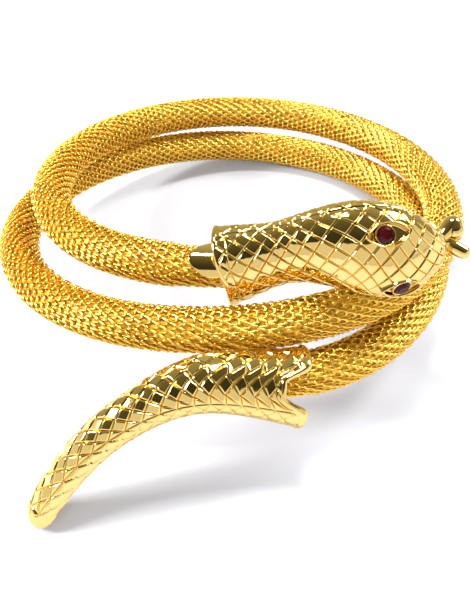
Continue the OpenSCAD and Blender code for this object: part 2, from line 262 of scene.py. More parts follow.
def makeCastGold():
    material, tree = newMaterial("PolishedCastGoldPlate")
    where = addNode(tree, "ShaderNodeTexCoord").outputs["Object"]
    swell = addNode(
        tree,
        "ShaderNodeTexNoise",
        values={
            "Scale": 1000 / castGold["unevenMm"],
            "Detail": castGold["detail"],
            "Roughness": castGold["fine"],
        },
        links={"Vector": where},
    )
    bump = addNode(
        tree,
        "ShaderNodeBump",
        values={"Strength": castGold["uneven"], "Distance": castGold["unevenDepth"]},
        links={"Height": swell.outputs["Fac"]},
    )
    metal = addNode(
        tree,
        "ShaderNodeBsdfPrincipled",
        values={
            "Base Color": srgb(castGold["colour"]),
            "Metallic": 1.0,
            "Roughness": castGold["roughness"],
            "Specular Tint": srgb(castGold["edge"]),
        },
        links={"Normal": bump.outputs["Normal"]},
    )
    addNode(tree, "ShaderNodeOutputMaterial", links={"Surface": metal.outputs["BSDF"]})
    return material


# Drawn and plated wire: satin, and more orange than the castings, since each wire lights its neighbours
wireGold = {
    "colour": "#F6CC5A",
    "edge": "#FFF2D4",  # seen edge on
    "roughness": 0.26,
    "patchMm": 3.0,  # width of one smoother or rougher patch
    "patch": 0.08,  # how much the roughness differs from patch to patch
    "noise": (0.3, 0.7),  # the part of the noise that the patches spread over
    "detail": 3.0,
}


def makeWireGold():
    material, tree = newMaterial("DrawnGoldPlatedWire")
    where = addNode(tree, "ShaderNodeTexCoord").outputs["Object"]
    patch = addNode(
        tree,
        "ShaderNodeTexNoise",
        values={"Scale": 1000 / wireGold["patchMm"], "Detail": wireGold["detail"]},
        links={"Vector": where},
    )
    spread = addNode(
        tree,
        "ShaderNodeMapRange",
        values={
            "From Min": wireGold["noise"][0],
            "From Max": wireGold["noise"][1],
            "To Min": wireGold["roughness"] - wireGold["patch"],
            "To Max": wireGold["roughness"] + wireGold["patch"],
        },
        links={"Value": patch.outputs["Fac"]},
    )
    metal = addNode(
        tree,
        "ShaderNodeBsdfPrincipled",
        values={
            "Base Color": srgb(wireGold["colour"]),
            "Metallic": 1.0,
            "Specular Tint": srgb(wireGold["edge"]),
        },
        links={"Roughness": spread.outputs["Result"]},
    )
    addNode(tree, "ShaderNodeOutputMaterial", links={"Surface": metal.outputs["BSDF"]})
    return material


# Inside of the knitted tube, where light bounced from wire to wire ends as deep amber: the backing's
# amber is painted bounced light
corePaintedBounce = {
    "colour": "#C08E10",
    "dark": "#7E5806",
    "tones": (0.4, 0.6),  # where in the noise the dark tone ends and the light one starts
    "roughness": 0.5,
    "metallic": 0.4,
    "grainMm": 0.5,  # about one hole of the knit
    "detail": 2.0,
    "bump": 0.5,
    "bumpDepth": 0.0002,  # in metres
}


def makeCorePaintedBounce():
    material, tree = newMaterial("KnittedBackingPaintedBounce")
    where = addNode(tree, "ShaderNodeTexCoord").outputs["Object"]
    grain = addNode(
        tree,
        "ShaderNodeTexNoise",
        values={"Scale": 1000 / corePaintedBounce["grainMm"], "Detail": corePaintedBounce["detail"]},
        links={"Vector": where},
    )
    # Painted bounced light, in a dark and a light amber that the noise mixes at random
    tone = addNode(tree, "ShaderNodeValToRGB", links={"Fac": grain.outputs["Fac"]})
    for stop, place, key in zip(tone.color_ramp.elements, corePaintedBounce["tones"], ("dark", "colour")):
        stop.position = place
        stop.color = srgb(corePaintedBounce[key])
    bump = addNode(
        tree,
        "ShaderNodeBump",
        values={"Strength": corePaintedBounce["bump"], "Distance": corePaintedBounce["bumpDepth"]},
        links={"Height": grain.outputs["Fac"]},
    )
    metal = addNode(
        tree,
        "ShaderNodeBsdfPrincipled",
        values={"Metallic": corePaintedBounce["metallic"], "Roughness": corePaintedBounce["roughness"]},
        links={"Base Color": tone.outputs["Color"], "Normal": bump.outputs["Normal"]},
    )
    addNode(tree, "ShaderNodeOutputMaterial", links={"Surface": metal.outputs["BSDF"]})
    return material


# Cut and polished garnet-coloured glass: deep wine red, nearly black inside, with a soft gloss
garnet = {
    "colour": "#440810",
    "deep": "#1E0305",
    "roughness": 0.03,
    "ior": 1.42,
    "clear": 0.25,  # how much light goes through
    "gloss": 0.22,
    "cloudMm": 1.5,  # width of one darker or lighter cloud in the glass
    "detail": 1.0,
}


def makeGarnet():
    material, tree = newMaterial("CutGarnetGlass")
    where = addNode(tree, "ShaderNodeTexCoord").outputs["Object"]
    cloud = addNode(
        tree,
        "ShaderNodeTexNoise",
        values={"Scale": 1000 / garnet["cloudMm"], "Detail": garnet["detail"]},
        links={"Vector": where},
    )
    tone = addNode(tree, "ShaderNodeValToRGB", links={"Fac": cloud.outputs["Fac"]})
    tone.color_ramp.elements[0].color = srgb(garnet["deep"])
    tone.color_ramp.elements[1].color = srgb(garnet["colour"])
    glass = addNode(
        tree,
        "ShaderNodeBsdfPrincipled",
        values={
            "Roughness": garnet["roughness"],
            "IOR": garnet["ior"],
            "Transmission Weight": garnet["clear"],
            "Specular IOR Level": garnet["gloss"],
        },
        links={"Base Color": tone.outputs["Color"]},
    )
    addNode(tree, "ShaderNodeOutputMaterial", links={"Surface": glass.outputs["BSDF"]})
    return material


castMaterial = makeCastGold()
wireMaterial = makeWireGold()
corePaintedBounceMaterial = makeCorePaintedBounce()
garnetMaterial = makeGarnet()
print("materials made")

# Knitted band

band = {
    "from": 45.0,  # turn at the tail's end, in degrees
    "to": 761.0,  # turn at the head's end
    "outside": 3.55,  # radius over the wires
    "loops": 15.5,  # wire loops in one round; the half sets each round's loops between the last one's
    "pitch": 1.235,  # length of a round along the tube
    "wire": 0.23,  # radius of the wire
    "reach": 0.6,  # half length of a loop as a share of the pitch
    "hookAt": 0.5,  # where in a loop its hook is steepest, in radians
    "hook": (0.9, 0.8),  # how much of a loop's slant lies in its hook
    "lead": 0.4,  # how far the hook stands out before the tread that follows it, in radians
    "crest": 0.55,  # how much the hook stands over the tread
    "narrow": 2.0,  # how narrow the hook's crest is
    "depth": 0.21,  # half depth of a loop
    "flat": 1.4,  # how flat the loops lie
    "drawnIn": 0.25,  # how much each held end is drawn in
    "heldTo": (7.0, 10.0),  # the stretch over which the tube regains its width, from each end
    "looseness": 0.012,  # unevenness of the loops
    "seed": 11,
    "bare": 1.2,  # length at each end without loops
    "segments": 14,  # straight lengths of wire in one loop
    "pieces": 5,
    "samples": 4000,  # turns at which the length is worked out
    "angles": 721,  # angles at which one loop's length is worked out
}

# Length along the centre line at many turns, from which a turn is found for any length
turns = np.linspace(band["from"], band["to"], band["samples"])
stretches = np.linalg.norm(np.diff(coilAt(turns), axis=0), axis=1)
distance = np.concatenate([[0], np.cumsum(stretches)])
bandLength = distance[-1]


def drawnIn(along, depth):
    # The tube is drawn in where the tail and the collar hold it
    nearest = np.minimum(along, bandLength - along)
    return depth * (1 - ramp(*band["heldTo"], nearest))


def loopShape(f):
    # Place in one loop by the angle f: share of a loop gained round the tube by two sines, shift along
    # it by a cosine, and depth by a flattened sine mixed with a narrow crest. On its outer side the
    # wire runs back along the tube as a level tread, after a steep hook that stands over the next one
    hookAt, (first, second) = band["hookAt"], band["hook"]
    gained = first * np.sin(f - hookAt) / (2 * np.pi)
    gained = gained + second * np.sin(2 * (f - hookAt)) / (4 * np.pi)
    level = np.tanh(band["flat"] * np.sin(f + band["lead"])) / math.tanh(band["flat"])
    crest = 2 * np.exp(-band["narrow"] * (1 - np.cos(f - hookAt))) - 1
    return gained, band["reach"] * np.cos(f), mix(level, crest, band["crest"])


def evenAngles():
    # Angles that cut one loop into pieces of equal length
    f = np.linspace(0, 2 * np.pi, band["angles"])
    gained, shift, raised = loopShape(f)
    spacing = 2 * math.pi * band["outside"] / band["loops"]
    around = (f / (2 * np.pi) + gained) * spacing
    line = np.stack([around, shift * band["pitch"], raised * band["depth"]], -1)
    length = np.concatenate([[0], np.cumsum(np.linalg.norm(np.diff(line, axis=0), axis=1))])
    return np.interp(np.arange(band["segments"]) / band["segments"] * length[-1], length, f)


def makeKnit():
    # One wire runs round the tube in a long spiral of flattened loops. Each loop reaches under the
    # rounds before and after, so that the rounds chain into stairs that climb round the tube. The wire
    # is a square bar whose corners lie on its round surface
    count = int((bandLength - 2 * band["bare"]) / band["pitch"] * band["loops"])
    f = (2 * np.pi * np.arange(count)[:, None] + evenAngles()).ravel()
    g = f / (2 * np.pi)
    random = np.random.default_rng(band["seed"])
    loose = random.normal(0, band["looseness"], (3, count + 2))
    sway, rise, push = (np.interp(g, np.arange(count + 2), row) for row in loose)
    gained, shift, raised = loopShape(f)
    around = 2 * np.pi * (g + gained + sway) / band["loops"]
    along = band["bare"] + (g / band["loops"] + shift + rise) * band["pitch"]
    radius = band["outside"] - band["wire"] + band["depth"] * (raised - 1) + push
    radius -= drawnIn(along, band["drawnIn"])
    turn = np.interp(along, distance, turns)
    _, out, up = coilAxes(turn)
    spoke = np.cos(around)[:, None] * out + np.sin(around)[:, None] * up
    path = coilAt(turn) + radius[:, None] * spoke
    tangent = unit(np.gradient(path, axis=0))
    side = unit(spoke - np.sum(spoke * tangent, -1, keepdims=True) * tangent)
    other = np.cross(tangent, side)
    rim = spokes(np.radians([45, 135, 225, 315]), side, other)
    return path[:, None] + rim * band["wire"]


knit = makeKnit()
cuts = np.linspace(0, len(knit) - 1, band["pieces"] + 1).astype(int)
for number in range(band["pieces"]):
    stretch = knit[cuts[number] : cuts[number + 1] + 1]
    name = f"band_knit_{number + 1}"
    addPiece(name, sheet(stretch, closed=True), wireMaterial, "knitted_wire", "band")

# The knit's backing: how far its ends stop short of the band's, and how far the deepest wires stand
# out of it as a share of a wire's radius
core = {"short": 0.1, "standOut": 0.8, "rings": 700, "sides": 28, "merge": 0.001}


def makeCore():
    # A plain tube under the wires: rings round the centre line, closed to a point at each end
    along = np.linspace(core["short"], bandLength - core["short"], core["rings"])
    turn = np.interp(along, distance, turns)
    _, out, up = coilAxes(turn)
    spoke = spokes(np.linspace(0, 2 * np.pi, core["sides"], endpoint=False), out, up)
    radius = band["outside"] - 2 * band["depth"] - band["wire"] * core["standOut"]
    radius = radius - drawnIn(along, band["drawnIn"])
    rings = coilAt(turn)[:, None] + spoke * radius[:, None, None]
    ends = [np.repeat(coilAt(turn[k])[None, None], core["sides"], 1) for k in (0, -1)]
    return sheet(np.concatenate([ends[0], rings, ends[1]]), closed=True)


# Its amber is painted bounced light, seen through the holes of the knit
addPiece("band_core", makeCore(), corePaintedBounceMaterial, "knitted_wire", "band", merge=core["merge"])
print("band knitted")

# Castings

cast = {
    "wall": 1.15,
    "borderLift": 0.22,  # height of the plain border over the grooves
    "dome": 0.05,  # extra height of a scale's middle
    "steps": 13,  # grid steps in half a scale
    "slit": 0.035,  # half width of the line cut at the bottom of a groove, as a share of a scale
    "edge": 0.35,  # how full the wall's lower edge is rolled
    "rimFade": 0.8,  # share of the length over which a mouth's own line fades out
    "probe": 0.004,  # half the step that gives a direction, as a share of the length
    "least": 0.05,  # smallest half width and height of a section
    "skewed": (0.2, 0.65, 0.84, 1),  # shares where the rows' slant starts, is full, fades and ends
    "open": 2.0,  # a share past the tip: the end isn't rounded in
}

# One entry for each casting:
# along, across: half scales along it and across it
# from, to, low, high: the shares and angles where the scales start and end
# lift: their height over the grooves; flat: how flat each one is
# groove: half width of a groove as a share of a scale; bevel: how much of the height is its slope
# cave, tip: the shares where the hollow ends and where the end starts to round; skew: slant of the rows
headScales = {
    "along": 24, "across": 10, "from": 0.04, "to": 0.93, "low": -68, "high": 68,
    "lift": 0.3, "flat": 0.45, "groove": 0.085, "bevel": 0.45,
    "cave": 0.86, "tip": 0.94, "skew": 0.075,
}
tailScales = {
    "along": 32, "across": 6, "from": 0.03, "to": 0.94, "low": -36, "high": 80,
    "lift": 0.4, "flat": 0.8, "groove": 0.14, "bevel": 0.45,
    "cave": 0.8, "tip": 0.95, "skew": 0.0,
}

# Sections along each casting: place of the middle in x, y and z, half width, crown height and lean in
# degrees
headRows = np.array([
    [-6, -27.5, 5, 7.4, 6.4, 2], [-2, -28, 7, 6.5, 5.6, 4], [2.5, -29, 9, 5.7, 5.0, 6],
    [7, -29.5, 10.5, 4.4, 3.8, 9], [11, -30.5, 12, 5.2, 4.1, 12], [15.5, -31.5, 13, 6.2, 4.6, 14],
    [19.5, -31.5, 12.5, 6.5, 4.8, 15], [23, -31.5, 11.5, 6.6, 4.6, 16], [27, -30, 11, 5.1, 3.7, 16],
    [31, -27.5, 11, 2.0, 1.8, 16], [35, -25, 11.5, -1.0, 0.0, 16],
])
# The tail's rows give place and half width; crown height and lean follow from the values under them
tailWidths = np.array([
    [17.5, -41.5, -5.5, 7.2], [11, -42, -4.5, 5.9], [4.5, -42.5, -3.5, 4.6], [-1.5, -43, -2, 4.4],
    [-7.5, -44, -3, 3.5], [-13.5, -45.5, -6, 2.8], [-19.5, -47, -10.5, 2.8], [-24.5, -49, -16.5, 2.8],
    [-29.5, -51, -24.5, 2.6], [-34.5, -53, -32.5, 2.3],
])
tailShape = {"dome": 0.85, "lean": 35.0}
tailRows = np.column_stack([
    tailWidths,
    tailWidths[:, 3] * tailShape["dome"],
    np.full(len(tailWidths), tailShape["lean"]),
])

# Mouths: where the rim lies as a share of the length, how it changes, and between which angles. The
# tail's bite and length are in mm. A rolled edge follows the rim: thick and lip are its thickness in
# its middle and at its two lips, and proud is how far it stands over the border
headMouth = {"middle": 0.063, "drop": 0.045, "angles": (5, 70), "lip": 0.9}
tailMouth = {"lips": 0.024, "bite": 3.6, "length": 50, "angles": (12, 40), "lip": 1.5}
mouth = {"thick": 0.9, "angles": (22, 45), "proud": 0.1, "places": 90, "sides": 24}


def castRow(rows, u):
    # Section at a share u of the length
    return smooth(rows, u * (len(rows) - 3))


def castAxes(rows, u):
    # The casting's direction, by a small step each way, with outward and upward turned by its lean
    row = castRow(rows, u)
    along = unit((castRow(rows, u + cast["probe"]) - castRow(rows, u - cast["probe"]))[..., :3])
    out, up = axesAt(row[..., :3], along, row[..., 5])
    return along, out, up


def onCast(rows, u, t, lift, roundFrom):
    # Half an ellipse across the line: crown height by the cosine and half width by the sine of the
    # angle t, both drawn in to a quarter round from a share of the length to just past the tip
    row = castRow(rows, u)
    _, out, up = castAxes(rows, u)
    pastTip, blunt = 1.0001, 0.02
    gone = (u - roundFrom) / (pastTip - roundFrom)
    k = np.where(u <= roundFrom, 1, np.sqrt(np.maximum(blunt, 1 - gone**2)))
    high = np.maximum(cast["least"], row[..., 4] * k + lift) * np.cos(np.radians(t))
    wide = np.maximum(cast["least"], row[..., 3] * k + lift) * np.sin(np.radians(t))
    return row[..., :3] + out * high[..., None] + up * wide[..., None]


def headRim(t):
    # The head's mouth runs back on its lower side
    return headMouth["middle"] - headMouth["drop"] * ramp(*headMouth["angles"], -t)


def tailRim(t):
    # The tail's mouth is cut back in the middle between its two lips
    bite = tailMouth["bite"] / tailMouth["length"]
    return tailMouth["lips"] + bite * (1 - ramp(*tailMouth["angles"], np.abs(t)))


def relief(i, j, scales):
    # Scales are squares on their points: their grooves run where i + j and i - j are even. A groove is
    # a narrow cut with a sloped bevel on each side, and each top swells a little in its middle. Gives
    # the share of a scale's height, the swell, and where the scales are
    p, q = (i + j) / 2, (i - j) / 2
    dp, dq = np.abs(p - np.rint(p)), np.abs(q - np.rint(q))
    fromEnds = np.minimum(i, scales["along"] - i)
    fromSides = np.minimum(j, scales["across"] - j)
    inside = np.minimum(fromEnds, fromSides) / 2
    near = np.minimum(np.minimum(dp, dq), np.abs(inside))
    bevel, slit = scales["bevel"], cast["slit"]
    cut = np.clip(near / slit, 0, 1) * (1 - bevel)
    slope = np.clip((near - slit) / (scales["groove"] - slit), 0, 1) * bevel
    return cut + slope, cast["dome"] * np.sqrt(np.clip(4 * dp * dq, 0, 1)), inside >= 0


def scalePlanes(corners, i, j):
    # The flat top of the scale that each place lies in, through the mean of the scale's four corners
    # and along its two diagonals. Corners hold the raised skin where i and j are whole, from -1 on
    p, q = np.floor((i + j) / 2).astype(int), np.floor((i - j) / 2).astype(int)
    middleI, middleJ = p + q + 1, p - q
    lastI, lastJ = corners.shape[0] - 1, corners.shape[1] - 1

    def corner(stepI, stepJ):
        row = np.clip(middleI + 1 + stepI, 0, lastI)
        column = np.clip(middleJ + 1 + stepJ, 0, lastJ)
        return corners[row, column]

    ahead, behind = corner(1, 0), corner(-1, 0)
    above, below = corner(0, 1), corner(0, -1)
    return (
        (ahead + behind + above + below) / 4
        + (i - middleI)[..., None] * (ahead - behind) / 2
        + (j - middleJ)[..., None] * (above - below) / 2
    )


# Grid lines outside the scales: before them, after them, at their edge, on to the lower edges, and
# round those edges. The inner skin uses one line in every innerStep
plain = {"start": 8, "end": 26, "edge": 3, "under": 12, "over": 8, "roll": 9, "innerStep": 6}


def casting(rows, scales, rim, holes=()):
    # Outer skin with its relief, rolled lower edges, inner skin, mouth, back and nose.
    # Each hole is a test that drops the faces whose middles pass it
    start, end, low, high = (scales[key] for key in ("from", "to", "low", "high"))
    n, m, fine = scales["along"], scales["across"], cast["steps"]
    tip = scales["tip"]
    skewFrom, skewFull, skewFade, skewEnd = cast["skewed"]
    f = np.concatenate([
        np.linspace(0, start, plain["start"])[:-1],
        np.linspace(start, end, n * fine + 1),
        end + (1 - end) * np.sin(np.radians(np.linspace(0, 90, plain["end"])))[1:],
    ])
    close = (high - low) / m / fine * np.arange(1, plain["edge"] + 1)
    under = np.concatenate([low - close, np.linspace(low - close[-1], -90, plain["under"])[1:]])
    over = np.concatenate([high + close, np.linspace(high + close[-1], 90, plain["over"])[1:]])
    t = np.concatenate([under[::-1], np.linspace(low, high, m * fine + 1), over])

    def share(f, t):
        # The rim's own line fades out along the casting, and the rows slant where the head is broad
        slant = ramp(skewFrom, skewFull, f) * (1 - ramp(skewFade, skewEnd, f))
        fade = np.maximum(0, 1 - f / cast["rimFade"]) ** 2
        return f + rim(t) * fade - scales["skew"] * (t / 90) * slant

    def skin(f, t, lift):
        f, t = np.broadcast_arrays(f[:, None], t[None, :])
        return onCast(rows, share(f, t), t, lift, tip)

    i = (f - start) / (end - start) * n
    j = (t - low) / (high - low) * m
    wholeI, wholeJ = np.arange(-1, n + 2), np.arange(-1, m + 2)
    cornerF = start + (end - start) * wholeI / n
    cornerT = low + (high - low) * wholeJ / m
    corners = skin(cornerF, cornerT, scales["lift"])
    height, swell, inside = relief(i[:, None], j[None, :], scales)
    flat = scalePlanes(corners, *np.broadcast_arrays(i[:, None], j[None, :]))
    top = mix(skin(f, t, scales["lift"] + swell), flat, scales["flat"])
    scaled = mix(skin(f, t, 0.0), top, height[..., None])
    border = skin(f, t, cast["borderLift"] * height * (1 - ramp(end, 1, f))[:, None])
    outer = np.where(inside[..., None], scaled, border)
    u = share(f[:, None], t[None, :])

    # Quads are split along the grooves that cross them, so that a groove's bottom is an unbroken edge
    a = np.arange(len(f) - 1)[:, None] * len(t) + np.arange(len(t) - 1)[None, :]
    b, c, d = a + 1, a + len(t) + 1, a + len(t)
    ic, jc = (i[:-1] + i[1:])[:, None] / 2, (j[:-1] + j[1:])[None, :] / 2
    p, q = (ic + jc) / 2, (ic - jc) / 2
    level = (np.abs(p - np.rint(p)) > np.abs(q - np.rint(q)))[..., None]
    first = np.where(level, np.stack([a, b, c], -1), np.stack([a, b, d], -1))
    second = np.where(level, np.stack([a, c, d], -1), np.stack([b, c, d], -1))
    triangles = np.concatenate([first.reshape(-1, 3), second.reshape(-1, 3)])
    middles = outer.reshape(-1, 3)[triangles].mean(1)
    for hole in holes:
        keep = ~hole(middles)
        triangles, middles = triangles[keep], middles[keep]
    parts = [(outer.reshape(-1, 3), [triangles])]

    # Rolled lower edges: half an ellipse from the outer skin to the inner one
    roll = np.radians(np.linspace(0, 180, plain["roll"]))
    _, out, up = castAxes(rows, u)
    innerWall = onCast(rows, u, np.broadcast_to(t, u.shape), -cast["wall"], tip)
    for column, sign in ((0, -1), (-1, 1)):
        outerEdge, innerEdge = outer[:, column], innerWall[:, column]
        middle = (outerEdge + innerEdge) / 2
        half = np.linalg.norm(outerEdge - innerEdge, axis=-1)[:, None, None] / 2
        bar = (
            middle[:, None]
            + sign * up[:, column][:, None] * np.cos(roll)[None, :, None] * half
            - out[:, column][:, None] * np.sin(roll)[None, :, None] * half * cast["edge"]
        )
        parts.append(sheet(bar if sign > 0 else bar[:, ::-1]))

    # Inner skin as far as the hollow goes, its end wall, the mouth's strip, and the flat back beyond
    last = int(np.searchsorted(f, scales["cave"]))
    deep = innerWall[np.unique(np.append(np.arange(0, last, plain["innerStep"]), last))]
    parts.append(sheet(deep[:, ::-1]))
    parts.append(fan(deep[-1], castRow(rows, u[last, len(t) // 2])[:3]))
    parts.append(sheet(np.stack([innerWall[0], outer[0]])))
    parts.append(sheet(np.stack([innerWall[last:, -1], innerWall[last:, 0]], 1)))
    parts.append(fan(outer[-1], outer[-1].mean(0)))
    return parts


def mouthRoll(rows, rim, lip):
    # Rolled edge along a mouth: a round bar on the outer skin, from its middle to its two lips
    t = np.linspace(-90, 90, mouth["places"])
    thick = mix(mouth["thick"], lip, ramp(*mouth["angles"], np.abs(t)))
    lift = cast["borderLift"] + mouth["proud"] - thick / 2
    path = onCast(rows, rim(t), t, lift, cast["open"])
    along = castAxes(rows, rim(t).mean(keepdims=True))[0]
    return swept(path, thick / 2, along[0], sides=mouth["sides"])


# Plate across each hollow: its two faces as shares of the length, how far it is bedded in the wall as a
# share of the wall, and the places round its outline
seats = {"head": (0.087, 0.13), "tail": (0.135, 0.16), "bedded": 0.6, "places": 40}


def seat(rows, shares):
    # Two half ellipses a little way into the wall, joined by a strip and closed by a fan each.
    # The tube's end sits against it
    t = np.linspace(-90, 90, seats["places"])
    lift = -seats["bedded"] * cast["wall"]
    rings = [onCast(rows, np.full(t.shape, u), t, lift, cast["open"]) for u in shares]
    near, far = (np.vstack([ring, ring[:1]]) for ring in rings)
    return [sheet(np.stack([near, far])), fan(near[::-1], near.mean(0)), fan(far, far.mean(0))]


# Eyes: an almond recess with a raised rim, and a stone in it. Each spot gives the share along the head,
# the angle, the almond's climb in degrees over one run, and the stone's shift from the almond's middle
eyes = {
    "spots": {"eye_upper": (0.654, 25.0, 4.0, -0.5), "eye_lower": (0.763, -46.0, 1.0, 0.0)},
    "run": 0.05,  # half the share of the head over which the almond's direction is taken
    "span": 6,  # half the angle over which its crosswise direction is taken
    "length": 5.6,
    "width": 2.9,
    "count": 36,  # places along one arc of an almond
    "hole": (0.1, 0.15, -1.6),  # how much the hole in the skin is longer and wider, and its depth
    "stone": 2.6,
    "collet": 0.13,  # radius of the thin ring round the stone
    "colletGap": 0.06,
    "colletLow": 0.08,  # how far the ring's middle lies under the skin
    "colletTall": 1.6,  # its height as a share of its width
    "colletSides": (48, 12),
}

# Outlines from the skirt under the head's skin, over the rounded rim, to the recess's floor:
# length and width added to the almond's, and height over the skin
almondLevels = [
    (1.3, 0.7, -1.3), (1.3, 0.7, 0.1), (1.22, 0.65, 0.24), (1.05, 0.56, 0.33), (0.78, 0.42, 0.36),
    (0.45, 0.25, 0.3), (0.2, 0.11, 0.12), (0.05, 0.03, -0.15), (0.0, 0.0, -0.36), (-0.25, -0.2, -0.44),
    (-0.8, -0.5, -0.45), (-3.0, -1.6, -0.45), (-5.4, -2.8, -0.45),
]


def eyeAxes(spot):
    # The spot's place on the head, and its directions along the almond, across it and outward
    u, t, climb, _ = (np.array([x]) for x in spot)
    run, span = eyes["run"], eyes["span"]

    def near(shareStep, angleStep):
        return onCast(headRows, u + shareStep, t + angleStep, 0, cast["open"])[0]

    point = near(0, 0)
    along = unit(near(run, climb) - near(-run, -climb))
    across = near(0, span) - near(0, -span)
    out = unit(np.cross(along, across))
    out = out * np.sign(out @ castAxes(headRows, u)[1][0])
    return point, np.stack([along, np.cross(out, along), out])


def almondRadius(length, width):
    # Radius of each of the two arcs, from their chord and their rise
    return (length**2 + width**2) / (4 * width)


def almond(length, width):
    # Two arcs that meet in points, once round
    r = almondRadius(length, width)
    a = math.asin(length / 2 / r)
    q = np.linspace(-a, a, eyes["count"])[:-1]
    top = np.stack([r * np.sin(q), r * np.cos(q) - r + width / 2], -1)
    return np.concatenate([top, -top])


def inAlmond(spot):
    # A test for places inside the almond: between its two arcs and not on the head's far side
    point, axes = eyeAxes(spot)
    r = almondRadius(eyes["length"], eyes["width"])
    longer, wider, deepest = eyes["hole"]

    def test(places):
        x, y, z = ((places - point) @ axes.T).T
        high = np.sqrt(np.maximum(r**2 - x**2, 0)) - r + eyes["width"] / 2 + wider
        return (np.abs(y) < high) & (np.abs(x) < eyes["length"] / 2 + longer) & (z > deepest)

    return test


def eyeRim(spot):
    # Nested almonds joined by strips, and round the stone a thin ring whose section is an ellipse
    point, axes = eyeAxes(spot)
    levels = []
    for longer, wider, height in almondLevels:
        outline = almond(eyes["length"] + longer, eyes["width"] + wider)
        levels.append(np.column_stack([outline, np.full(len(outline), height)]))
    circle, section = (np.linspace(0, 2 * np.pi, k, endpoint=False) for k in eyes["colletSides"])
    r = eyes["stone"] / 2 + eyes["colletGap"] + eyes["collet"] * np.cos(section)[:, None]
    height = -eyes["colletLow"] + eyes["colletTall"] * eyes["collet"] * np.sin(section)[:, None]
    x, y = spot[3] + r * np.cos(circle), r * np.sin(circle)
    collet = np.stack([x, y, np.broadcast_to(height, x.shape)], -1)
    collet = np.concatenate([collet, collet[:1]])
    return [
        sheet(point + np.stack(levels) @ axes, closed=True),
        sheet(point + collet[::-1] @ axes, closed=True),
    ]


# Tongue lobes from the nose, each row giving along, out, up and radius
tongue = {
    "upper": [
        [-2.3, 0.2, 0.2, 1.0], [0.2, 0.2, 1.0, 1.2], [1.9, 0.3, 1.9, 1.4], [1.8, 1.0, 1.2, 1.3],
    ],
    "lower": [
        [-2.2, 0.2, -0.4, 1.0], [0.5, 0.6, -0.4, 1.0], [1.0, 1.6, -1.1, 1.05], [1.6, 2.6, -1.8, 1.0],
    ],
}
# Places along a lobe, sides round it, and rings in each of its rounded ends
lobeGrid = {"steps": 40, "sides": 28, "rounds": 8}


def lobe(rows):
    # A round bar through the lobe's rows, set out in the nose's own directions
    nose = np.ones(1)
    along, out, up = castAxes(headRows, nose)
    line = throughPoints(np.array(rows), lobeGrid["steps"])
    path = castRow(headRows, nose)[0, :3] + line[:, :3] @ np.stack([along[0], out[0], up[0]])
    return swept(path, line[:, 3], up[0], lobeGrid["sides"], lobeGrid["rounds"])


finish = {"sharpFrom": 60, "merge": 0.001}  # in degrees and mm
spots = list(eyes["spots"].values())
headParts = casting(headRows, headScales, headRim, [inAlmond(spot) for spot in spots])
headParts.append(mouthRoll(headRows, headRim, headMouth["lip"]))
headParts += seat(headRows, seats["head"])
for spot in spots:
    headParts += eyeRim(spot)
headParts += [lobe(rows) for rows in tongue.values()]
addPiece("head_cast", join(headParts), castMaterial, "cast_gold", "head", **finish)

tailParts = casting(tailRows, tailScales, tailRim)
tailParts.append(mouthRoll(tailRows, tailRim, tailMouth["lip"]))
tailParts += seat(tailRows, seats["tail"])
addPiece("tail_cast", join(tailParts), castMaterial, "cast_gold", "tail", **finish)
print("castings made")

# Smooth collar that the tube's end sits in, drawn out into a leaf on the side that shows
collar = {
    "outside": 3.8,  # outer radius
    "bore": 3.42,  # inner radius
    "grip": 1.0,  # reach over the tube all round
    "leaf": 5.4,  # further reach of the leaf
    "turn": 55,  # where round the tube the leaf's middle lies, in degrees
    "narrow": 1.6,  # how narrow the leaf is
    "cap": 1.0,  # thickness of the end wall
    "gap": 0.12,  # from the tube's end to that wall
    "shoulder": 0.3,  # rounding of the outer corner
    "pole": 0.01,  # radius of the ring that closes the end
    "rate": 0.47,  # length of the centre line in one degree of turn, at the head's end
    "sides": 120,
    "rows": (16, 8, 6),  # along a straight, round the mouth's edge, over the shoulder
    "merge": 0.02,
}


def makeCollar():
    # Rings round the tube: up the bore, round the mouth's edge by half a circle, along the outside, and
    # over the shoulder by a quarter circle to the middle. The leaf's reach is a power of the cosine
    straight, rounded, corner = collar["rows"]
    bore, outside, shoulder = collar["bore"], collar["outside"], collar["shoulder"]
    q = np.linspace(0, 2 * np.pi, collar["sides"], endpoint=False)
    facing = np.maximum(0, np.cos(q - np.radians(collar["turn"])))
    reach = collar["grip"] + collar["leaf"] * facing ** collar["narrow"]
    half = (outside - bore) / 2
    end = collar["gap"] + collar["cap"]
    k = np.linspace(0, 1, straight)[:, None]
    a = np.radians(np.linspace(0, 180, rounded))[:, None]
    b = np.radians(np.linspace(0, 90, corner))[:, None]
    flat = np.zeros((1, len(q)))
    along = np.concatenate([
        mix(collar["gap"], -reach + half, k),
        -reach + half - half * np.sin(a),
        mix(-reach + half, end - shoulder, k),
        end - shoulder + shoulder * np.sin(b) + flat,
        end + flat,
    ])
    radius = np.concatenate([
        bore + 0 * k + flat,
        bore + half - half * np.cos(a) + flat,
        outside + 0 * k + flat,
        outside - shoulder + shoulder * np.cos(b) + flat,
        collar["pole"] + flat,
    ])
    turn = band["to"] + along / collar["rate"]
    _, out, up = coilAxes(turn)
    spoke = np.cos(q)[None, :, None] * out + np.sin(q)[None, :, None] * up
    return sheet(coilAt(turn) + spoke * radius[..., None], closed=True)


addPiece(
    "collar_smooth", makeCollar(), castMaterial, "polished_gold", "neck_collar",
    sharpFrom=finish["sharpFrom"], merge=collar["merge"],
)

for name in eyes["spots"]:
    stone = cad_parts[name]
    stone.data.materials.clear()
    stone.data.materials.append(garnetMaterial)
print("collar and stones made")

# Camera at the photo's place, in the coil's frame

photo = {
    "down": 37.56,  # degrees that it looks down
    "away": 121.0,  # distance back from the coil's middle, along its line of sight
    "right": 0.786,
    "up": -16.713,
    "focalPixels": 629.3,
    "longSide": 600,  # pixels along the picture's long side
    "sensor": 36,
    "clip": (0.005, 20),  # in metres
}


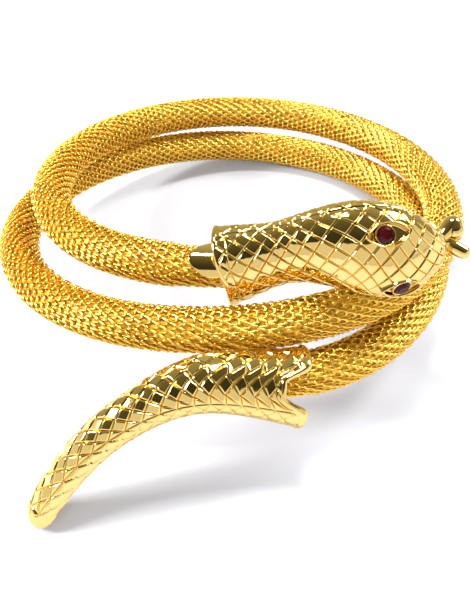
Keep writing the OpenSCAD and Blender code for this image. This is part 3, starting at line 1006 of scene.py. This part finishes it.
def addCamera():
    # Its place is back along its line of sight, then to its right and upward
    e = math.radians(photo["down"])
    forward = np.array([0, math.cos(e), -math.sin(e)])
    upward = np.array([0, math.sin(e), math.cos(e)])
    right = np.array([1.0, 0, 0])
    place = -forward * photo["away"] + right * photo["right"] + upward * photo["up"]
    data = bpy.data.cameras.new("camera")
    data.sensor_width = photo["sensor"]
    data.lens = photo["focalPixels"] / photo["longSide"] * data.sensor_width
    data.clip_start, data.clip_end = photo["clip"]
    camera = bpy.data.objects.new("camera", data)
    bpy.context.scene.collection.objects.link(camera)
    axes = np.stack([right, upward, -forward], 1)
    matrix = np.eye(4)
    matrix[:3, :3] = turned @ axes
    matrix[:3, 3] = toRow(place[None])[0]
    camera.matrix_world = Matrix(matrix.tolist())
    bpy.context.scene.camera = camera


addCamera()

# Matt painted table, in metres, lit so strongly that it looks white. It ends not far behind the
# bracelet
table = {"side": 2.5, "near": -2.5, "far": 0.7, "colour": "#A2A3A9", "roughness": 0.7}


def addFloor():
    # One flat rectangle under the bracelet
    mesh = bpy.data.meshes.new("floor")
    side, near, far = table["side"], table["near"], table["far"]
    corners = [(-side, near, 0), (side, near, 0), (side, far, 0), (-side, far, 0)]
    mesh.from_pydata(corners, [], [(0, 1, 2, 3)])
    material, tree = newMaterial("MattWhiteTable")
    matt = addNode(
        tree,
        "ShaderNodeBsdfPrincipled",
        values={"Base Color": srgb(table["colour"]), "Roughness": table["roughness"]},
    )
    addNode(tree, "ShaderNodeOutputMaterial", links={"Surface": matt.outputs["BSDF"]})
    mesh.materials.append(material)
    floor = bpy.data.objects.new("floor", mesh)
    bpy.context.scene.collection.objects.link(floor)


addFloor()

# Lamps: place and size in metres, power and colour. A hidden one isn't mirrored in metal and only
# lifts the shadows
lamps = {
    "key": {"at": (0.0, 0.12, 0.74), "size": (0.2, 0.11), "watts": 5.5, "colour": "#FFFDF8"},
    "right": {"at": (0.5, 0.25, 0.45), "size": (0.2, 0.18), "watts": 5.0, "colour": "#FFFFFF"},
    "left": {"at": (-0.55, 0.0, 0.34), "size": (0.15, 0.13), "watts": 8.0, "colour": "#FFFFFF"},
    "floor": {
        "at": (0.0, -0.7, 0.5), "size": (0.8, 0.4), "watts": 8.0, "colour": "#FFFFFF", "hidden": True,
    },
}
aim = Vector((0, 0, 0.015))  # the bracelet's middle, which every lamp faces


def addLamp(name, lamp):
    # A flat lamp that faces the bracelet
    data = bpy.data.lights.new(name, "AREA")
    data.shape = "RECTANGLE"
    data.size, data.size_y = lamp["size"]
    data.energy = lamp["watts"]
    data.color = srgb(lamp["colour"])[:3]
    light = bpy.data.objects.new(name, data)
    bpy.context.scene.collection.objects.link(light)
    light.location = lamp["at"]
    light.visible_glossy = not lamp.get("hidden", False)
    light.rotation_mode = "QUATERNION"
    light.rotation_quaternion = (aim - Vector(lamp["at"])).to_track_quat("-Z", "Y")


for name, lamp in lamps.items():
    addLamp(name, lamp)

# A lit paper screen stands round the front and sides and carries the table's brightness up, as a sweep
# of white paper does. It is what the metal mirrors low down. Its rows give x, y and height in metres
screen = {
    "rows": [
        (-1.5, 0.5, 0.75), (-1.5, -0.5, 0.72), (-1.0, -1.1, 0.64), (0.2, -1.1, 0.64),
        (1.0, -1.1, 0.95), (1.5, -0.5, 1.0), (1.5, 0.4, 0.8),
    ],
    "colour": "#FFFCF4",
    "strength": 0.95,
}


def addScreen():
    # Upright panels from row to row
    mesh = bpy.data.meshes.new("screen")
    low = [(x, y, 0) for x, y, _ in screen["rows"]]
    count = len(low)
    panels = [(k, k + 1, count + k + 1, count + k) for k in range(count - 1)]
    mesh.from_pydata(low + screen["rows"], [], panels)
    material, tree = newMaterial("LitPaperScreen")
    glow = addNode(
        tree,
        "ShaderNodeEmission",
        values={"Color": srgb(screen["colour"]), "Strength": screen["strength"]},
    )
    addNode(tree, "ShaderNodeOutputMaterial", links={"Surface": glow.outputs["Emission"]})
    mesh.materials.append(material)
    paper = bpy.data.objects.new("screen", mesh)
    bpy.context.scene.collection.objects.link(paper)


addScreen()

# The room that the metal mirrors is dark olive in front, mid olive overhead and pale behind. What is
# matt gets an even white fill instead, which keeps the shadows on the table light
room = {
    "front": "#423F30",
    "above": "#7A7459",
    "behind": "#C8C4A6",
    "overhead": 0.45,  # where between front and behind the overhead tone lies
    "between": (-0.7, 0.9),  # how far forward and back the tones change
    "strength": 1.0,
    "fill": 1.1,
    "fillColour": "#FFFFFF",
}


def addRoom():
    # Three tones mixed by how far forward or back a direction points
    world = bpy.data.worlds.new("room")
    world.use_nodes = True
    tree = world.node_tree
    tree.nodes.clear()
    where = addNode(tree, "ShaderNodeTexCoord")
    parts = addNode(tree, "ShaderNodeSeparateXYZ", links={"Vector": where.outputs["Generated"]})
    share = addNode(
        tree,
        "ShaderNodeMapRange",
        values={"From Min": room["between"][0], "From Max": room["between"][1]},
        links={"Value": parts.outputs["Y"]},
    )
    tone = addNode(tree, "ShaderNodeValToRGB", links={"Fac": share.outputs["Result"]})
    tone.color_ramp.elements[0].color = srgb(room["front"])
    tone.color_ramp.elements[1].color = srgb(room["behind"])
    tone.color_ramp.elements.new(room["overhead"]).color = srgb(room["above"])
    back = addNode(
        tree,
        "ShaderNodeBackground",
        values={"Strength": room["strength"]},
        links={"Color": tone.outputs["Color"]},
    )
    fill = addNode(
        tree,
        "ShaderNodeBackground",
        values={"Color": srgb(room["fillColour"]), "Strength": room["fill"]},
    )
    kind = addNode(tree, "ShaderNodeLightPath")
    both = addNode(
        tree,
        "ShaderNodeMixShader",
        links={
            0: kind.outputs["Is Diffuse Ray"],
            1: back.outputs["Background"],
            2: fill.outputs["Background"],
        },
    )
    addNode(tree, "ShaderNodeOutputWorld", links={"Surface": both.outputs["Shader"]})
    bpy.context.scene.world = world


addRoom()
bpy.context.scene.view_settings.view_transform = "Standard"
print("camera, floor and light set")
